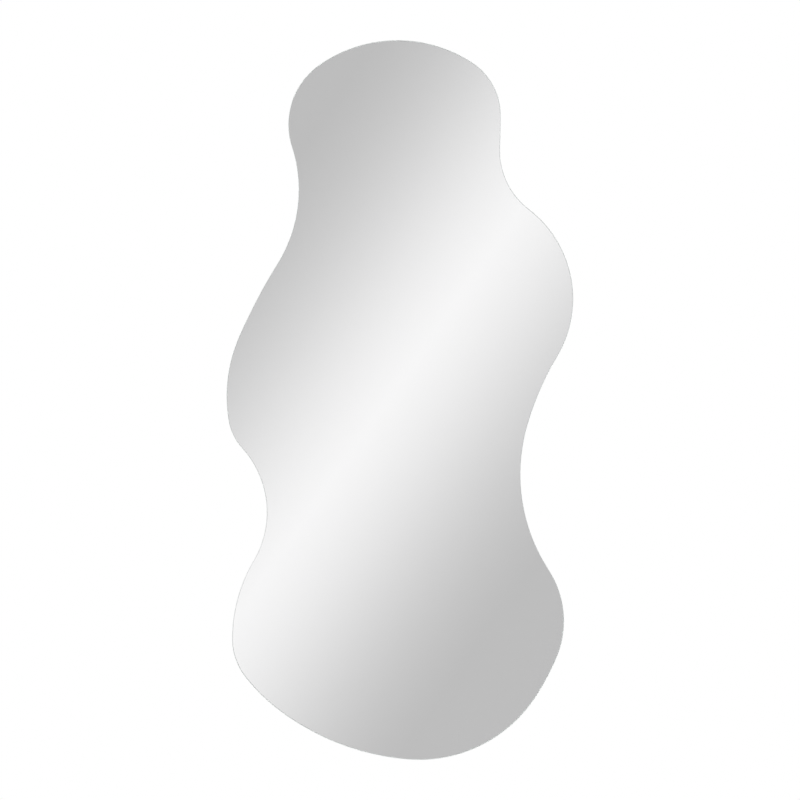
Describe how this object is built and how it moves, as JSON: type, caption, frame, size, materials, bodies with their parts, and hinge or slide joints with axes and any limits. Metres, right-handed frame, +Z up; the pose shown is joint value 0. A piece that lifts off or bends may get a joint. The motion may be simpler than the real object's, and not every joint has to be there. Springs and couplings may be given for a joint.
{
  "type": "irregular wall mirror",
  "caption": "Frameless wall mirror with an irregular, softly lobed outline, bonded to a hidden board with keyhole plates.",
  "frame": {"origin": "on the wall, midway between the round openings of the two keyhole plates", "axes": "+Z up, +X to the right as seen from the front, +Y from the mirror into the wall; it faces -Y"},
  "size_m": [0.4814, 0.0178, 1],
  "materials": {
    "glass": "polished",
    "silver": "mirror",
    "film": "woven, satin",
    "board": "raw fibreboard",
    "foam_tape": "foam",
    "adhesive": "cured, satin",
    "plate_steel": "zinc plated",
    "screw_steel": "zinc plated",
    "pad": "soft, matt"
  },
  "bodies": {
    "root": {"glass_pane": "glass", "silver_coating": "silver", "safety_film": "film", "backing_board": "board", "foam_tape_upper_left": "foam_tape", "foam_tape_upper_right": "foam_tape", "foam_tape_middle_left": "foam_tape", "foam_tape_middle_right": "foam_tape", "foam_tape_lower_left": "foam_tape", "foam_tape_lower_right": "foam_tape", "adhesive_bead_crown": "adhesive", "adhesive_bead_shoulder": "adhesive", "adhesive_bead_elbow": "adhesive", "adhesive_bead_waist": "adhesive", "adhesive_bead_hip": "adhesive", "adhesive_bead_foot": "adhesive", "keyhole_plate_left": "plate_steel", "keyhole_plate_right": "plate_steel", "hanger_screws": "screw_steel", "wall_pad_shoulder": "pad", "wall_pad_elbow": "pad", "wall_pad_hip": "pad", "wall_pad_foot": "pad"}
  },
  "joints": []
}
